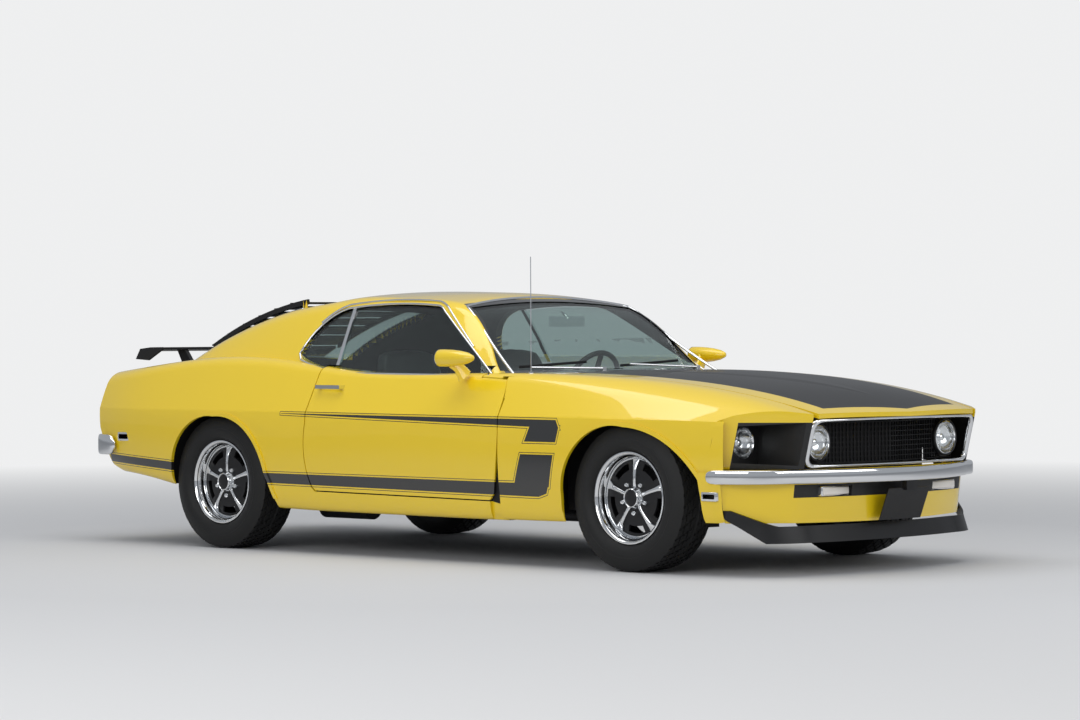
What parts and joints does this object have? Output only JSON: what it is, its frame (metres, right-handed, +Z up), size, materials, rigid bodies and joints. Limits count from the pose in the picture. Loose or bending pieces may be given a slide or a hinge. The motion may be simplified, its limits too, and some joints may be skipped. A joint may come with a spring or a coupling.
{
  "type": "car",
  "caption": "Two-door fastback muscle car with a rear louvre, chin spoiler and rear wing; doors, lids, wheels and steering move",
  "frame": {"origin": "On the ground under the middle of the car's bounding box", "axes": "+X to the nose, +Y to the driver's left side, +Z up"},
  "size_m": [4.76, 1.8934, 1.4268],
  "materials": {
    "body_paint": "gloss",
    "black_paint": "satin",
    "under_paint": "matte",
    "chrome": "polished",
    "glass": "clear, faintly green",
    "lamp_glass": "clear lens",
    "red_lens": "gloss",
    "tyre": "matte",
    "wheel_chrome": "polished",
    "grille_black": "satin",
    "soft_black": "satin",
    "trim_black": "grained",
    "dash_black": "satin",
    "iron": "matte",
    "steel": "dull",
    "plate_black": "gloss",
    "mirror": "polished"
  },
  "bodies": {
    "chassis": {"body_shell": "body_paint", "fender_right": "body_paint", "fender_left": "body_paint", "lamp_housings": "body_paint", "front_structure": "under_paint", "windshield": "glass", "rear_window": "glass", "quarter_glass": "glass", "window_divider": "chrome", "grille_surround": "chrome", "grille": "grille_black", "headlamps": "lamp_glass", "front_valance": "body_paint", "front_bumper": "chrome", "chin_spoiler": "soft_black", "front_plate": "plate_black", "marker_lamps": "lamp_glass", "rear_bumper": "chrome", "tail_lamps": "red_lens", "front_suspension": "under_paint", "rear_axle": "under_paint", "drive_shaft": "steel", "engine_block": "iron", "radiator": "under_paint", "exhaust": "steel", "fuel_tank": "under_paint", "dashboard": "dash_black", "steering_column": "dash_black", "front_seats": "trim_black", "rear_seat": "trim_black", "interior_mirror": "mirror", "cowl_fittings": "chrome"},
    "door_right_body": {"door_right": "body_paint", "door_glass_right": "glass", "mirror_right": "body_paint", "door_handle_right": "chrome"},
    "door_left_body": {"door_left": "body_paint", "door_glass_left": "glass", "mirror_left": "body_paint", "door_handle_left": "chrome"},
    "hood_body": {"hood": "black_paint"},
    "deck_body": {"deck_lid": "black_paint", "rear_spoiler": "black_paint"},
    "louvre_body": {"rear_louvre": "black_paint"},
    "steering_wheel_body": {"steering_wheel": "dash_black"},
    "knuckle_right_body": {"knuckle_right": "iron"},
    "knuckle_left_body": {"knuckle_left": "iron"},
    "wheel_front_right_body": {"tyre_front_right": "tyre", "rim_front_right": "wheel_chrome"},
    "wheel_front_left_body": {"tyre_front_left": "tyre", "rim_front_left": "wheel_chrome"},
    "wheel_rear_right_body": {"tyre_rear_right": "tyre", "rim_rear_right": "wheel_chrome"},
    "wheel_rear_left_body": {"tyre_rear_left": "tyre", "rim_rear_left": "wheel_chrome"}
  },
  "joints": [
    {"name": "door_right_hinge", "type": "hinge", "parent": "chassis", "child": "door_right_body", "pos_m": [0.715, -0.868, 0.585], "axis": [0, 0, 1], "range_deg": [0, 65]},
    {"name": "door_left_hinge", "type": "hinge", "parent": "chassis", "child": "door_left_body", "pos_m": [0.715, 0.868, 0.585], "axis": [0, 0, -1], "range_deg": [0, 65]},
    {"name": "hood_hinge", "type": "hinge", "parent": "chassis", "child": "hood_body", "pos_m": [0.88, 0, 0.87], "axis": [0, -1, 0], "range_deg": [0, 48]},
    {"name": "deck_hinge", "type": "hinge", "parent": "chassis", "child": "deck_body", "pos_m": [-1.965, 0, 0.894], "axis": [0, 1, 0], "range_deg": [0, 60]},
    {"name": "louvre_hinge", "type": "hinge", "parent": "chassis", "child": "louvre_body", "pos_m": [-1.118, 0, 1.235], "axis": [0, 1, 0], "range_deg": [0, 35]},
    {"name": "steering_wheel_turn", "type": "hinge", "parent": "chassis", "child": "steering_wheel_body", "pos_m": [0.09, 0.36, 0.8], "axis": [-0.9272, 0, 0.3746], "range_deg": [-448, 448]},
    {"name": "steer_right", "type": "hinge", "parent": "chassis", "child": "knuckle_right_body", "pos_m": [1.427, -0.68, 0.333], "axis": [0, 0, 1], "range_deg": [-28, 28]},
    {"name": "steer_left", "type": "hinge", "parent": "chassis", "child": "knuckle_left_body", "pos_m": [1.427, 0.68, 0.333], "axis": [0, 0, 1], "range_deg": [-28, 28]},
    {"name": "wheel_front_right_spin", "type": "hinge", "parent": "knuckle_right_body", "child": "wheel_front_right_body", "pos_m": [1.427, -0.7555, 0.333], "axis": [0, 1, 0], "continuous": true},
    {"name": "wheel_front_left_spin", "type": "hinge", "parent": "knuckle_left_body", "child": "wheel_front_left_body", "pos_m": [1.427, 0.7555, 0.333], "axis": [0, 1, 0], "continuous": true},
    {"name": "wheel_rear_right_spin", "type": "hinge", "parent": "chassis", "child": "wheel_rear_right_body", "pos_m": [-1.316, -0.7555, 0.333], "axis": [0, 1, 0], "continuous": true},
    {"name": "wheel_rear_left_spin", "type": "hinge", "parent": "chassis", "child": "wheel_rear_left_body", "pos_m": [-1.316, 0.7555, 0.333], "axis": [0, 1, 0], "continuous": true}
  ],
  "couplings": [
    {"joint": "steer_left", "follows": "steer_right", "ratio": 1},
    {"joint": "steering_wheel_turn", "follows": "steer_right", "ratio": 16}
  ]
}
